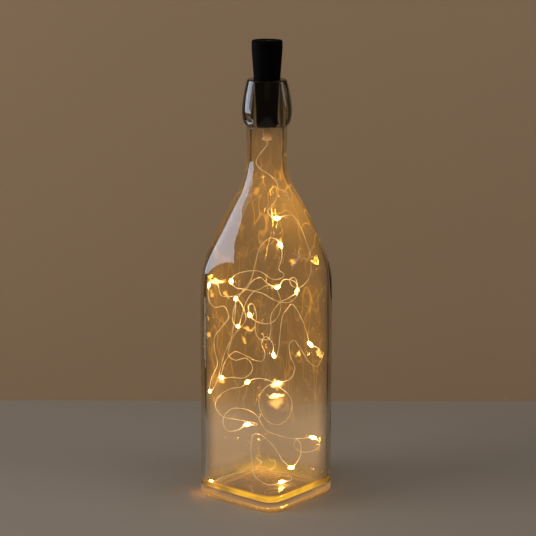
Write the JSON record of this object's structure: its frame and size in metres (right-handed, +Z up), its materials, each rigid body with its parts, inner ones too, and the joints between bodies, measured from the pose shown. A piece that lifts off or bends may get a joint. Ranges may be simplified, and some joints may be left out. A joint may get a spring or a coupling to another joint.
{
  "type": "cork bottle light",
  "caption": "Square clear glass bottle with a cork-shaped black battery stopper in its neck and a string of small warm lights tangled inside.",
  "frame": {"origin": "centre of the bottle's foot, on the surface that it stands on", "axes": "+Z up along the bottle's axis; the flat sides face +X, -X, +Y and -Y; the picture looks from between -Y and +X"},
  "size_m": [0.0746, 0.0746, 0.328],
  "materials": {
    "clear_glass": "clear moulded soda-lime glass, smooth",
    "silvered_wire": "tinned copper twin wire under clear enamel",
    "clear_resin": "clear epoxy drop, lit from inside",
    "lit_chip": "warm white light chip, lit",
    "black_abs": "fine matt moulded black ABS",
    "milky_plastic": "milky translucent moulded plastic",
    "green_laminate": "glass-epoxy circuit board under green varnish",
    "black_epoxy": "moulded black epoxy",
    "gold_plated_brass": "thin gold plate on brass",
    "red_pvc": "soft PVC insulation",
    "grey_abs": "moulded grey ABS",
    "nickel_steel": "pressed nickel-plated steel",
    "tinned_steel": "tinned sheet steel",
    "switch_knob": "moulded dark ABS"
  },
  "bodies": {
    "bottle": {"glass_bottle": "clear_glass", "lead_wire": "silvered_wire", "light_wire_1": "silvered_wire", "light_wire_2": "silvered_wire", "light_wire_3": "silvered_wire", "light_wire_4": "silvered_wire", "led_beads_1": "clear_resin", "led_beads_2": "clear_resin", "led_beads_3": "clear_resin", "led_beads_4": "clear_resin", "led_chips_1": "lit_chip", "led_chips_2": "lit_chip", "led_chips_3": "lit_chip", "led_chips_4": "lit_chip"},
    "stopper": {"stopper_shell": "black_abs", "wire_outlet": "milky_plastic", "driver_board": "green_laminate", "driver_chip": "black_epoxy", "limit_resistor": "black_epoxy", "board_spring": "gold_plated_brass", "leaf_contact": "gold_plated_brass", "inner_leads": "red_pvc"},
    "cap": {"cap_head": "black_abs", "cell_cage": "grey_abs", "cell_1": "nickel_steel", "cell_2": "nickel_steel", "cell_3": "nickel_steel", "contact_stud": "gold_plated_brass", "cell_spring": "gold_plated_brass", "return_strip": "gold_plated_brass", "switch_board": "green_laminate", "switch_housing": "tinned_steel", "switch_pins": "tinned_steel"},
    "slider": {"switch_slider": "switch_knob", "switch_wiper": "gold_plated_brass"}
  },
  "joints": [
    {"name": "cork_lift", "type": "slide", "parent": "bottle", "child": "stopper", "axis": [0, 0, 1], "range_m": [0, 0.055], "deforming": ["lead_wire"]},
    {"name": "cap_lift", "type": "slide", "parent": "stopper", "child": "cap", "axis": [0, 0, 1], "range_m": [0, 0.032]},
    {"name": "switch_slide", "type": "slide", "parent": "cap", "child": "slider", "axis": [-1, 0, 0], "range_m": [0, 0.002]}
  ]
}
